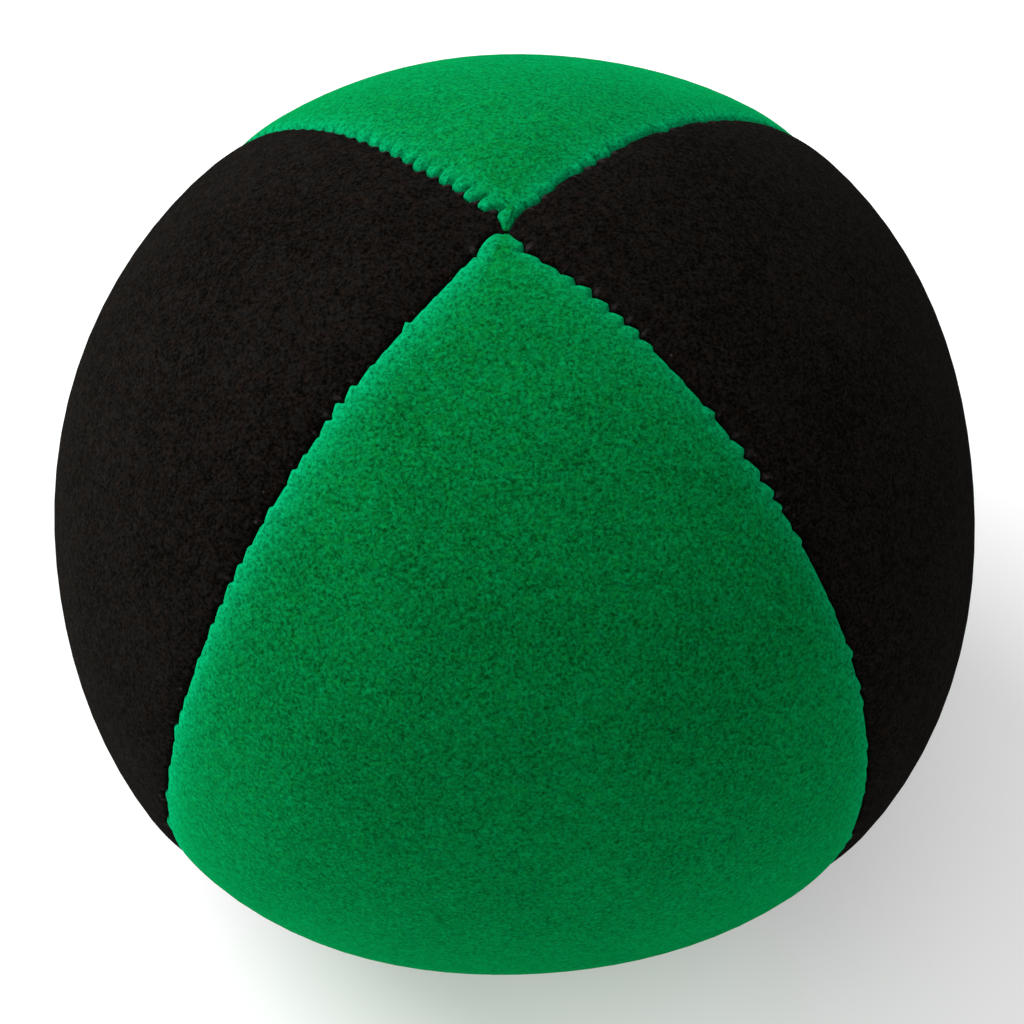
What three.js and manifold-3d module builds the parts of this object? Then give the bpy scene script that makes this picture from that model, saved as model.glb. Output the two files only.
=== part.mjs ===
// Four-panel beanbag juggling ball: velour panels, their seam threads and the grain inside.
// Millimetres, +Z up along the line through both poles. The front green panel faces -Y.
// Angles are in degrees: polar is measured from the upper pole, azimuth from -Y towards +X.

import * as THREE from 'three';
import { mergeVertices } from 'three/addons/utils/BufferGeometryUtils.js';
import Module from 'manifold-3d';

const wasm = await Module();
wasm.setup();

// Driving dimensions.
const ballRadius = 33.5;
const restPatchRadius = 12;
const clothThickness = 1.1;
const allowanceDepth = 5;
const clearance = 0.3;
const edgeRollRadius = 1.5;
const threadRadius = 0.2;
const closingThreadRadius = 0.18;
const knotRadius = 0.42;

// How far each seam stands out past the round, as a part of the ball's radius.
const seams = {
  front_left: { azimuth: -45, fullness: 0.043 },
  front_right: { azimuth: 45, fullness: 0.033 },
  rear_right: { azimuth: 135, fullness: 0.042 },
  rear_left: { azimuth: 225, fullness: 0.001 },
};

// The panels stop short of the poles, and their turned-in edges are trimmed there.
const tipAngle = 2;
const trimmedTo = 4.5;
const trimmedFrom = 12;
const tipAllowance = 1.4;
const tipScaleShare = 0.8;

// Where the threads run and stop.
const threadDepth = 2.2;
const sideSeamEnd = 6;
const openingTop = 6;
const openingBottom = 54;
const closingThreadDepth = 0.1;
const knotHeight = 0.15;
const knotGapAngle = 1.4;

// Mesh steps, and the angle that one step along a thread takes.
const ringSteps = 18;
const firstRing = 8;
const arcSteps = 7;
const threadSides = 6;
const threadStepAngle = 6;
const slotSteps = 60;

const restHeight = Math.sqrt(ballRadius ** 2 - restPatchRadius ** 2);
const ballCentreZ = (restHeight - ballRadius) / 2;
const halfSeamGap = clearance / 2;
const threadOffset = halfSeamGap + clothThickness + clearance + threadRadius;
const slotHalfWidth = threadOffset + threadRadius + clearance;
const fillingDepth = clothThickness + clearance + 0.1;
const slotMinDepth = threadDepth + threadRadius + clearance;

const radians = THREE.MathUtils.degToRad;
const poleAngle = (polar) => Math.min(polar, 180 - polar);

function direction(polar, azimuth) {
  const out = Math.sin(radians(polar));
  return new THREE.Vector3(
    out * Math.sin(radians(azimuth)),
    -out * Math.cos(radians(azimuth)),
    Math.cos(radians(polar)),
  );
}

// The cover's outer radius: round between the seams, fuller along them, flat where it rests.
function coverRadius(polar, azimuth) {
  let swell = 0;
  for (const seam of Object.values(seams)) {
    const away = THREE.MathUtils.euclideanModulo(azimuth - seam.azimuth + 180, 360) - 180;
    if (Math.abs(away) < 45) swell += seam.fullness * Math.cos(radians(2 * away)) ** 2;
  }
  const round = ballRadius * (1 + swell * Math.sin(radians(polar)) ** 2);
  const toFlat = polar > 90 ? -restHeight / Math.cos(radians(polar)) : Infinity;
  return Math.min(round, toFlat);
}

function coverPoint(polar, azimuth, depth) {
  return direction(polar, azimuth).multiplyScalar(coverRadius(polar, azimuth) - depth);
}

// A point beside a seam: depth is below the surface, offset is across the seam's plane.
function seamPoint(polar, azimuth, depth, offset) {
  const across = new THREE.Vector3(Math.cos(radians(azimuth)), Math.sin(radians(azimuth)), 0);
  return coverPoint(polar, azimuth, depth).addScaledVector(across, offset);
}

function allowanceAt(polar) {
  return THREE.MathUtils.mapLinear(
    THREE.MathUtils.clamp(poleAngle(polar), trimmedTo, trimmedFrom),
    trimmedTo, trimmedFrom, tipAllowance, allowanceDepth,
  );
}

function evenly(from, to, count) {
  return Array.from({ length: count + 1 }, (_, i) => from + (to - from) * i / count);
}

// A closed body through rings with the same number of corners. Each end is closed by joining
// corner i to corner n - 1 - i, which suits a convex ring and a folded strip alike.
function loftBody(rings) {
  const corners = rings[0].length;
  const last = (rings.length - 1) * corners;
  const index = [];
  const quad = (a, b, c, d) => index.push(a, b, c, a, c, d);
  for (let start = 0; start < last; start += corners) {
    for (let i = 0; i < corners; i++) {
      const next = (i + 1) % corners;
      quad(start + i, start + corners + i, start + corners + next, start + next);
    }
  }
  for (let i = 0; i + 1 < corners / 2; i++) {
    const j = corners - 1 - i;
    quad(i, i + 1, j - 1, j);
    quad(last + j, last + j - 1, last + i + 1, last + i);
  }
  const geometry = new THREE.BufferGeometry();
  const positions = rings.flat().flatMap((point) => point.toArray());
  geometry.setAttribute('position', new THREE.Float32BufferAttribute(positions, 3));
  geometry.setIndex(index);
  return geometry;
}

// One panel's section at a polar angle: a strip of cloth that comes out along one seam, rolls over
// its edge, crosses to the next seam and turns in again. Right side first, then back on the wrong side.
function panelSection(polar, startAzimuth) {
  const endAzimuth = startAzimuth + 90;
  const reach = coverRadius(polar, startAzimuth) * Math.sin(radians(polar));
  const room = (reach * Math.SQRT1_2 - halfSeamGap) * tipScaleShare / edgeRollRadius;
  const scale = Math.min(1, room);
  const roll = edgeRollRadius * scale;
  const cloth = clothThickness * scale;
  const allowance = allowanceAt(polar);

  const edge = (azimuth, side, sunk) => {
    const inner = roll - sunk;
    const profile = [[allowance, halfSeamGap + sunk], [roll, halfSeamGap + sunk]];
    for (const turn of [45, 90]) {
      const depth = roll - inner * Math.sin(radians(turn));
      const offset = halfSeamGap + roll - inner * Math.cos(radians(turn));
      profile.push([depth, offset]);
    }
    return profile.map(([depth, offset]) => seamPoint(polar, azimuth, depth, side * offset));
  };

  const rollAngle = THREE.MathUtils.radToDeg(Math.atan2(halfSeamGap + roll, reach));
  const middle = (sunk) => evenly(startAzimuth + rollAngle, endAzimuth - rollAngle, arcSteps)
    .slice(1, -1)
    .map((azimuth) => coverPoint(polar, azimuth, sunk));
  const face = (sunk) => [
    ...edge(startAzimuth, 1, sunk),
    ...middle(sunk),
    ...edge(endAzimuth, -1, sunk).reverse(),
  ];
  return [...face(0), ...face(cloth).reverse()];
}

const ringPolars = [
  tipAngle,
  trimmedTo,
  ...evenly(firstRing, 180 - firstRing, ringSteps),
  180 - trimmedTo,
  180 - tipAngle,
];

function panel(startAzimuth) {
  return loftBody(ringPolars.map((polar) => panelSection(polar, startAzimuth)));
}

function threadAngles(from, to) {
  return evenly(from, to, Math.round((to - from) / threadStepAngle));
}

// A thread along a list of points, as a thin rod with flat sides.
function thread(points, radius) {
  const corners = evenly(0, 2 * Math.PI, threadSides).slice(0, -1);
  const section = new THREE.Shape(
    corners.map((turn) => new THREE.Vector2(radius * Math.cos(turn), radius * Math.sin(turn))),
  );
  return new THREE.ExtrudeGeometry(section, {
    steps: points.length - 1,
    extrudePath: new THREE.CatmullRomCurve3(points),
    bevelEnabled: false,
  });
}

function sideSeamThread(azimuth, side) {
  const points = threadAngles(sideSeamEnd, 180 - sideSeamEnd)
    .map((polar) => seamPoint(polar, azimuth, threadDepth, side * threadOffset));
  return thread(points, threadRadius);
}

// The joining seam goes once round in one plane. Its turn angle is 0 at the upper pole, grows down the
// front right seam to 180 at the lower pole, and goes on up the rear left seam.
function joiningSeamThread(side) {
  const { front_right: front, rear_left: rear } = seams;
  const points = threadAngles(-openingTop, 360 - openingBottom).map((turn) => (turn >= 0 && turn <= 180
    ? seamPoint(turn, front.azimuth, threadDepth, side * threadOffset)
    : seamPoint(turn < 0 ? -turn : 360 - turn, rear.azimuth, threadDepth, -side * threadOffset)));
  return thread(points, threadRadius);
}

function closingThread() {
  const points = threadAngles(openingTop, openingBottom)
    .map((polar) => seamPoint(polar, seams.rear_left.azimuth, closingThreadDepth, 0));
  return thread(points, closingThreadRadius);
}

function closingKnot() {
  const knot = new THREE.SphereGeometry(knotRadius, 10, 7);
  const centre = seamPoint(openingBottom + knotGapAngle, seams.rear_left.azimuth, -knotHeight, 0);
  return knot.translate(centre.x, centre.y, centre.z);
}

function toSolid(geometry) {
  const bare = new THREE.BufferGeometry();
  bare.setAttribute('position', geometry.getAttribute('position'));
  bare.setIndex(geometry.getIndex());
  const merged = mergeVertices(bare, 1e-5);
  return new wasm.Manifold(new wasm.Mesh({
    numProp: 3,
    vertProperties: new Float32Array(merged.getAttribute('position').array),
    triVerts: new Uint32Array(merged.getIndex().array),
  }));
}

function fromSolid(solid) {
  const mesh = solid.getMesh();
  const geometry = new THREE.BufferGeometry();
  geometry.setAttribute('position', new THREE.Float32BufferAttribute(mesh.vertProperties, 3));
  geometry.setIndex([...mesh.triVerts]);
  return geometry;
}

// The space that a pair of opposite seams takes in the grain: a flat ring in the seams' plane, as deep
// as the turned-in edges and the threads.
function seamSlot(azimuth) {
  const outside = ballRadius + allowanceDepth;
  const ring = new THREE.Shape().absarc(0, 0, outside, 0, 2 * Math.PI);
  const inside = evenly(0, 360, slotSteps).slice(0, -1).map((turn) => {
    const polar = turn <= 180 ? turn : 360 - turn;
    const depth = Math.max(allowanceAt(polar) + clearance, slotMinDepth);
    const radius = coverRadius(polar, turn <= 180 ? azimuth : azimuth + 180) - depth;
    return new THREE.Vector2(Math.sin(radians(turn)), Math.cos(radians(turn))).multiplyScalar(radius);
  });
  ring.holes.push(new THREE.Path(inside));
  const slot = new THREE.ExtrudeGeometry(ring, { depth: 2 * slotHalfWidth, curveSegments: 24, bevelEnabled: false });
  slot.translate(0, 0, -slotHalfWidth);
  const outward = direction(90, azimuth);
  const up = new THREE.Vector3(0, 0, 1);
  return slot.applyMatrix4(new THREE.Matrix4().makeBasis(outward, up, outward.clone().cross(up)));
}

function milletFilling() {
  const azimuths = evenly(-45, 315, 4 * arcSteps).slice(0, -1);
  const rings = ringPolars.map((polar) => azimuths.map((azimuth) => coverPoint(polar, azimuth, fillingDepth)));
  const heap = toSolid(loftBody(rings));
  const slots = [seams.front_right, seams.front_left].map((seam) => toSolid(seamSlot(seam.azimuth)));
  return fromSolid(heap.subtract(slots[0]).subtract(slots[1]));
}

const greenVelour = () => new THREE.MeshStandardMaterial({ color: 0x067a3b, roughness: 0.95, metalness: 0 });
const blackVelour = () => new THREE.MeshStandardMaterial({ color: 0x17130f, roughness: 0.95, metalness: 0 });
const blackThread = () => new THREE.MeshStandardMaterial({ color: 0x0d0c0b, roughness: 0.6, metalness: 0 });
const millet = () => new THREE.MeshStandardMaterial({ color: 0xd9b36a, roughness: 0.7, metalness: 0 });

const ball = new THREE.Group();
ball.name = 'juggling_ball';

function add(name, geometry, material) {
  const mesh = new THREE.Mesh(geometry, material);
  mesh.name = name;
  mesh.position.z = ballCentreZ;
  ball.add(mesh);
}

add('green_panel_front', panel(seams.front_left.azimuth), greenVelour());
add('black_panel_right', panel(seams.front_right.azimuth), blackVelour());
add('green_panel_rear', panel(seams.rear_right.azimuth), greenVelour());
add('black_panel_left', panel(seams.rear_left.azimuth), blackVelour());

for (const name of ['front_left', 'rear_right']) {
  add(`${name}_needle_thread`, sideSeamThread(seams[name].azimuth, 1), blackThread());
  add(`${name}_bobbin_thread`, sideSeamThread(seams[name].azimuth, -1), blackThread());
}
add('joining_seam_needle_thread', joiningSeamThread(1), blackThread());
add('joining_seam_bobbin_thread', joiningSeamThread(-1), blackThread());

add('closing_thread', closingThread(), blackThread());
add('closing_knot', closingKnot(), blackThread());
add('millet_filling', milletFilling(), millet());

export default ball;
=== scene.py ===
"""A velour juggling ball sewn from four panels and filled with millet.

The cover, its seam threads, the hand-closed opening and the grain are separate pieces. Lengths are in
metres. Polar angles are measured from the upper pole and azimuths from -Y towards +X.
"""

import math
from dataclasses import dataclass, replace

import bpy
import numpy as np
from bpy.props import FloatProperty, FloatVectorProperty, IntProperty, PointerProperty
from mathutils import Matrix, Vector


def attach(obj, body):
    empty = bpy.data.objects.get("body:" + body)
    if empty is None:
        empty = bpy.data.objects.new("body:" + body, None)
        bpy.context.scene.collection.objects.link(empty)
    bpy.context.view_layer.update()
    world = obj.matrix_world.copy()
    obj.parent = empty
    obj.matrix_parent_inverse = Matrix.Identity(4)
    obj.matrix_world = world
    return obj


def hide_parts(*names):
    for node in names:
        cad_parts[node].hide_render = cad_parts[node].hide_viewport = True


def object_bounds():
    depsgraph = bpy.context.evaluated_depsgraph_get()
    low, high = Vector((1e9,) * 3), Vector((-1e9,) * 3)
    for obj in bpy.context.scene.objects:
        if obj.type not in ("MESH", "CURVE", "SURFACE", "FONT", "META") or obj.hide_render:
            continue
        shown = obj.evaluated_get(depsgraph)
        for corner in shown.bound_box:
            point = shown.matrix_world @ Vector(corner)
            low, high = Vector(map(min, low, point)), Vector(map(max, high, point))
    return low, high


bl_info = {
    "name": "Velour Juggling Ball",
    "version": (1, 0, 0),
    "blender": (4, 5, 0),
    "location": "View3D > Sidebar > Juggling Ball",
    "description": "Sews a four-panel beanbag ball and sets it on a pale floor",
    "category": "Add Mesh",
}

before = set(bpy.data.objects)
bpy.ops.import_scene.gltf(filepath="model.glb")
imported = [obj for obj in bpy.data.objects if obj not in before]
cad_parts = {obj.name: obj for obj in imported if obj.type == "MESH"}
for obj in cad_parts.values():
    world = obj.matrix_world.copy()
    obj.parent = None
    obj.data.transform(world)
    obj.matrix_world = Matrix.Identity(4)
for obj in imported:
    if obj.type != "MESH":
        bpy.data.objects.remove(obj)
CAD_LOW, CAD_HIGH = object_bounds()

MM = 0.001
QUARTER = math.pi / 2
BODY = "root"

# The floor's side in metres, and how far below the ball it lies, so that the two surfaces don't mix.
FLOOR_SIDE = 4
FLOOR_DROP = 0.02 * MM

# Columns of a panel's mesh, from the cut edge of its turned-in allowance to the open cloth.
TURNED_IN_SHARES = (1.0, 0.6, 0.25)
ROLL_TURNS = np.radians((0, 12, 24, 36, 48, 60, 72, 82, 90))
BESIDE_ROLL = np.array((0.1, 0.22, 0.38, 0.6, 0.9, 1.3, 1.8, 2.5)) * MM
OPEN_COLUMNS = 22
PANEL_ROWS = 760
FIRST_ROW = math.radians(0.3)

# The parts of a narrow tip's half width that may go to the rolled edge and to the strip beside it.
ROLL_SHARE = 0.5
BESIDE_SHARE = 0.35

# The cloth is never thicker than this share of the radius that it rolls over.
ROLL_FILL = 0.9

# Where half a panel is narrower than this, near a pole, all that its seams do to it shrinks.
NARROW_HALF = 1.3 * MM

# The allowance narrows towards the poles, between these two polar angles, to this width, and never to less
# than the last.
ALLOWANCE_ANGLES = np.radians((4.5, 12))
POLE_ALLOWANCE = 1.4 * MM
LEAST_ALLOWANCE = 0.1 * MM

# Where four panels meet, the cover dips this deep over this width.
POLE_DIMPLE_DEPTH = 0.5 * MM
POLE_DIMPLE_WIDTH = 0.8 * MM

# These keep the rest patch's formula finite where it has no effect, and the tuck's at the poles.
LEAST_DOWN = 0.1
GAP_LIMIT = 40
LEAST_CIRCLE = 0.001

# The upper pole lies a little off the axis, and the swing dies out this far down the seams.
POLE_DRIFT = Vector((-0.27, -0.30)) * MM
POLE_DRIFT_ANGLE = 0.24
SWAY_FADE = (math.radians(105), math.radians(150))

# A seam's tuck towards its green panel starts this far from the upper pole.
TUCK_START = math.radians(2)

# The feed of the cloth varies by this share of a stitch. A seam's first stitch at the upper pole is this many
# times as long as the others.
FEED_UNEVENNESS = 0.15
POLE_STITCH = 1.6

# On an uneven seam the lobes' heights lie between these two, as shares of the seam's own, mostly low.
LOBE_LOWEST = 0.05
LOBE_HIGHEST = 1.85

# Past its reach a seam keeps this share of its lobes, and it gets there over about this angle.
LOBE_REST = 0.3
LOBE_FADE = math.radians(2)

# How far from the upper pole a seam's lobes grow.
LOBE_GROWTH_REACH = math.radians(9)

# A lobe stands up by this share of its height.
LOBE_LIFT = 0.35

# A stitch pulls the cloth in over this share of its length at both ends, and as hard as it can between lobes
# of this height.
PINCH_PHASE = 0.12
PINCH_LOBE = 0.5

# How much of a stitch's pull each cloth follows. The black cloth lies below the green in every seam.
GREEN_GIVE = 1.0
BLACK_GIVE = 0.15

# How far from a seam each of its effects dies away: the dip, the lobes and their relief, a stitch's pull and
# the painted highlight along it. The last is how deep down in the seam the lobes and the pull die away.
DIP_WIDTH = 1.0 * MM
LAP_WIDTH = 1.3 * MM
LIFT_WIDTH = 0.8 * MM
PULL_WIDTH = 0.55 * MM
SEAM_HIGHLIGHT_WIDTH = 0.7 * MM
BURIED_DEPTH = 1.2 * MM

# The cover that is blown up to find how the cloth swells between its seams.
SWELL_RINGS = 48
SWELL_SPOKES = 96
SWELL_START = 0.985
SWELL_FRAMES = 20
SWELL_REFINEMENTS = 3

# The height that nine tenths of the blown cover keep below counts as the full swell, and none of it may stand
# higher than this many times that.
SWELL_PERCENTILE = 90
SWELL_LIMIT = 1.15

# The share of the swell by which the seams lie below the plain round cover.
SWELL_LEVEL = 0.15


@dataclass
class Seam:
    """One seam from pole to pole.

    azimuth and green_side say where it runs and on which side its green panel lies. fullest and fullness are
    the azimuth and the share by which the ball is fuller there. sway is its slow swing in millimetres at the
    equator, and tuck a shift in millimetres towards the green panel that dies out over tuck_reach from the
    upper pole. All angles are in degrees.

    Between stitches, each stitch millimetres long, the green cloth rolls over the black in lobes. lobe is
    their height in millimetres, past lobe_reach little is left of them, and lobe_growth is the share by
    which they grow at the upper pole. rise and fall are the shares of a stitch over which a lobe comes up
    after its upper end and goes down to its lower end. unevenness runs from 0 to 1, and nap sets how wide
    and strong the painted highlight along the seam is, 1 being plain.
    """

    azimuth: float
    fullest: float
    fullness: float
    sway: tuple
    tuck: float
    tuck_reach: float
    green_side: int
    stitch: float
    lobe: float
    rise: float
    fall: float
    seed: int
    lobe_reach: float = 180
    lobe_growth: float = 0.0
    unevenness: float = 1.0
    # nap scales the painted highlight along the seam.
    nap: float = 1.0


SEAMS = {
    "front_left": Seam(
        azimuth=-45, fullest=-42.5, fullness=0.042, green_side=1,
        sway=(-1.99, 1.59, -0.67), tuck=-0.4, tuck_reach=8,
        stitch=1.5, lobe=0.24, lobe_growth=1.2, rise=0.2, fall=0.8,
        nap=1.4, seed=3,
    ),
    "front_right": Seam(
        azimuth=45, fullest=47, fullness=0.041, green_side=-1,
        sway=(-0.40, 0.95, -0.18), tuck=0.6, tuck_reach=7,
        stitch=1.5, lobe=0.18, lobe_growth=1.0, rise=0.68, fall=0.3,
        seed=9608,
    ),
    "rear_right": Seam(
        azimuth=135, fullest=131, fullness=0.041, green_side=1,
        sway=(0.16, -0.92, 0.78), tuck=0.49, tuck_reach=40,
        stitch=1.5, lobe=0.28, rise=0.7, fall=0.3,
        seed=7,
    ),
    "rear_left": Seam(
        azimuth=225, fullest=229, fullness=0.004, green_side=-1,
        sway=(-1.04, -0.70, 0.11), tuck=1.15, tuck_reach=9.5,
        stitch=1.34, lobe=0.56, lobe_reach=26, lobe_growth=0.5, rise=0.14, fall=0.3,
        unevenness=0.3, seed=11,
    ),
}
PANELS = {
    "green_panel_front": ("front_left", "front_right", "green_velour"),
    "black_panel_right": ("front_right", "rear_right", "black_velour"),
    "green_panel_rear": ("rear_right", "rear_left", "green_velour"),
    "black_panel_left": ("rear_left", "front_left", "black_velour"),
}


def colour(name, description, default):
    """A linear colour setting."""
    return FloatVectorProperty(
        name=name, description=description, default=default, subtype="COLOR", min=0, max=1
    )


def length(name, description, millimetres):
    """A length setting, given in millimetres."""
    return FloatProperty(name=name, description=description, default=millimetres * MM, unit="LENGTH")


def angle(name, description, degrees):
    """An angle setting, given in degrees."""
    return FloatProperty(name=name, description=description, default=math.radians(degrees), subtype="ANGLE")


def power(name, description, watts):
    """A lamp's power."""
    return FloatProperty(name=name, description=description, default=watts, unit="POWER")


class BallSizes(bpy.types.PropertyGroup):
    """Sizes of the sewn ball."""

    radius: length("Ball Radius", "Radius of the cover midway between its seams", 33.5)
    rest_radius: length("Rest Patch", "Radius of the flat that the ball settles on", 12)
    rest_softness: length("Rest Rim", "How softly the cover turns into the rest patch", 0.25)
    cloth: length("Cloth Thickness", "Thickness of the velour with its nap", 1.1)
    allowance: length("Seam Allowance", "Cloth turned inside along each seam", 5)
    edge_roll: length("Edge Roll", "Radius that the green cloth rolls over at a seam", 0.5)
    black_roll: length("Black Edge Roll", "Radius that the black cloth rolls over at a seam", 0.2)
    pressed_cloth: length("Pressed Cloth", "Thickness of the velour where a seam presses it together", 0.5)
    seam_gap: length("Seam Gap", "Half the gap between two panels in a seam", 0.03)
    pinch: length("Stitch Pinch", "How deep each stitch pulls the cloth in", 0.4)
    dip: length("Seam Dip", "How far the cloth dips towards each seam", 0.35)
    swell: length("Swell", "How far the cloth may stand up between its seams", 0.3)
    thread: length("Thread Radius", "Radius of the sewing thread", 0.13)
    thread_depth: length("Stitch Depth", "Depth of the machine stitches below the cover", 0.85)
    opening_start: angle("Opening Start", "Polar angle where the hand-closed opening starts", 6)
    opening_end: angle("Opening End", "Polar angle where the hand-closed opening ends", 54)
    grains: IntProperty(
        name="Grains",
        description="Millet grains that show on the outside of the heap",
        default=2300,
    )
    grain: length("Grain Length", "Length of one millet grain", 2.5)


class BallColours(bpy.types.PropertyGroup):
    """Colours of the cloth, thread and grain."""

    green_deep: colour("Green Shade", "Green nap where it lies in shade", (0.0010, 0.040, 0.004))
    green_lit: colour("Green Tips", "Green nap where its tips catch the light", (0.0024, 0.29, 0.051))
    green_cool: colour("Green Cool Tips", "Nap tips that lean away and look bluer", (0.001, 0.33, 0.088))
    # Painted highlight: a lighter, bluer green laid along the seams, where the rolled edges catch the light.
    green_seam_highlight: colour("Green Rim", "Nap that stands open along the seams", (0.001, 0.46, 0.19))
    green_sheen: colour("Green Sheen", "Glow of the green nap at a slant", (0.002, 1.0, 0.30))
    black_deep: colour("Black Shade", "Black nap where it lies in shade", (0.0014, 0.0009, 0.0006))
    black_lit: colour("Black Tips", "Black nap where its tips catch the light", (0.0128, 0.0090, 0.0072))
    black_cool: colour("Black Cool Tips", "Black nap tips that look greyer", (0.0098, 0.0093, 0.0090))
    black_sheen: colour("Black Sheen", "Glow of the black nap at a slant", (0.96, 1.0, 0.90))
    # Lint specks, which near the seams also serve as painted glints of the pile catching the light.
    lint_and_glints: colour("Lint", "Specks of lint on the black cloth", (0.040, 0.031, 0.034))
    thread: colour("Thread", "Black sewing thread", (0.003, 0.003, 0.003))
    grain_pale: colour("Pale Grain", "Husked millet, pale side", (0.70, 0.48, 0.16))
    grain_brown: colour("Brown Grain", "Husked millet, brown side", (0.42, 0.22, 0.05))
    floor: colour("Floor", "Pale matt floor", (0.76, 0.76, 0.76))


class StageSettings(bpy.types.PropertyGroup):
    """Camera and lights."""

    azimuth: angle("Azimuth", "Camera's turn about the ball", -1.38)
    elevation: angle("Elevation", "Camera's height angle", 53.6)
    roll: angle("Roll", "Camera's tilt about its line of sight", 0.565)
    distance: FloatProperty(
        name="Distance", description="From the camera to the ball's centre", default=0.4157, unit="LENGTH"
    )
    lens: FloatProperty(name="Lens", description="Focal length in millimetres", default=199.6)
    shift_x: FloatProperty(
        name="Shift X", description="Sideways shift, as a share of the sensor", default=-0.0016, precision=4
    )
    shift_y: FloatProperty(
        name="Shift Y", description="Upward shift, as a share of the sensor", default=0.0019, precision=4
    )
    key: power("Key", "Power of the softbox behind left", 3.9)
    top: power("Top", "Power of the softbox over the ball", 1.25)
    edge: power("Edge", "Power of the low softbox at the left", 1.7)
    back: power("Back", "Power of the softbox behind the ball", 0.55)
    fill: power("Fill", "Power of the wide light at the right", 1.0)
    sky: FloatProperty(name="Sky", description="Strength of the light from all round", default=0.01)
    table: FloatProperty(
        name="Table", description="Strength of the light through the pale table", default=0.385
    )


# --- The shape of the cover -------------------------------------------------------------------------


def direction(polar, azimuth):
    """Unit vectors away from the ball's centre."""
    out = np.sin(polar)
    parts = np.broadcast_arrays(out * np.sin(azimuth), -out * np.cos(azimuth), np.cos(polar))
    return np.stack(parts, axis=-1)


def fading(distance, width):
    """A soft bell: 1 at no distance, and hardly anything past twice the width."""
    return np.exp(-((distance / width) ** 2))


def rest_height(sizes):
    """Height of the ball's centre over the floor."""
    return math.sqrt(sizes.radius**2 - sizes.rest_radius**2)


def ball_centre(sizes):
    return np.array((0, 0, CAD_LOW.z + rest_height(sizes)))


def cover_radius(sizes, polar, azimuth):
    """Round between the seams, fuller along them, and softly flat where the ball rests."""
    swell = 0
    for seam in SEAMS.values():
        away = (azimuth - math.radians(seam.fullest) + math.pi) % (2 * math.pi) - math.pi
        swell = swell + np.where(np.abs(away) < QUARTER / 2, seam.fullness * np.cos(2 * away) ** 2, 0)
    full = sizes.radius * (1 + swell * np.sin(polar) ** 2)
    down = np.maximum(-np.cos(polar), LEAST_DOWN)
    gap = np.clip((rest_height(sizes) / down - full) / sizes.rest_softness, -GAP_LIMIT, GAP_LIMIT)
    return full - sizes.rest_softness * np.log1p(np.exp(-gap))


def cover_points(sizes, polar, azimuth, depth):
    """Points at a depth below the cover, with the upper pole's drift and the floor under the rest patch."""
    points = direction(polar, azimuth) * (cover_radius(sizes, polar, azimuth) - depth)[..., None]
    drift = fading(polar, POLE_DRIFT_ANGLE)
    points[..., 0] += drift * POLE_DRIFT.x
    points[..., 1] += drift * POLE_DRIFT.y
    points = points + ball_centre(sizes)
    points[..., 2] = np.maximum(points[..., 2], CAD_LOW.z)
    return points


def seam_azimuth(sizes, seam, polar):
    """The seam's own azimuth: a meridian with a slow sway, which dies out on the underside."""
    first, second, third = (share * MM for share in seam.sway)
    turn = first + 2 * second * np.cos(polar) + third * (3 - 4 * np.sin(polar) ** 2)
    start, end = SWAY_FADE
    late = np.clip((polar - start) / (end - start), 0, 1)
    turn = turn / sizes.radius * (1 - late * late * (3 - 2 * late))
    tucked = (1 - fading(polar, TUCK_START)) * fading(polar, math.radians(seam.tuck_reach))
    circle = sizes.radius * np.maximum(np.sin(polar), LEAST_CIRCLE)
    turn = turn + seam.green_side * seam.tuck * MM / circle * tucked
    return math.radians(seam.azimuth) + turn


def stitch_stops(sizes, seam):
    """Polar angles of a seam's stitches, with the unevenness of a real feed, and its lobes' heights."""
    noise = np.random.default_rng(seam.seed)
    count = round(math.pi * sizes.radius / (seam.stitch * MM))
    steps = 1 + FEED_UNEVENNESS * seam.unevenness * np.clip(noise.standard_normal(count), -2, 2)
    steps[0] *= POLE_STITCH
    stops = np.concatenate(([0], np.cumsum(steps)))
    spread = LOBE_LOWEST + (LOBE_HIGHEST - LOBE_LOWEST) * noise.uniform(0, 1, count) ** 2
    return stops / stops[-1] * math.pi, 1 + seam.unevenness * (spread - 1)


def stitch_shape(sizes, seam, polar):
    """How far the green cloth laps over at each polar angle, and how hard a stitch pulls there."""
    stops, heights = stitch_stops(sizes, seam)
    index = np.clip(np.searchsorted(stops, polar, side="right") - 1, 0, len(heights) - 1)
    phase = np.clip((polar - stops[index]) / (stops[index + 1] - stops[index]), 0, 1)
    kept = 1 / (1 + np.exp((polar - math.radians(seam.lobe_reach)) / LOBE_FADE))
    grown = 1 + seam.lobe_growth * fading(polar, LOBE_GROWTH_REACH)
    height = heights[index] * grown * (LOBE_REST + (1 - LOBE_REST) * kept)
    profile = np.clip(np.minimum(phase / seam.rise, (1 - phase) / seam.fall), 0, 1)
    pinch = height * fading(np.minimum(phase, 1 - phase), PINCH_PHASE)
    return -seam.green_side * seam.lobe * MM * height * profile, pinch * seam.lobe / PINCH_LOBE


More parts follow.
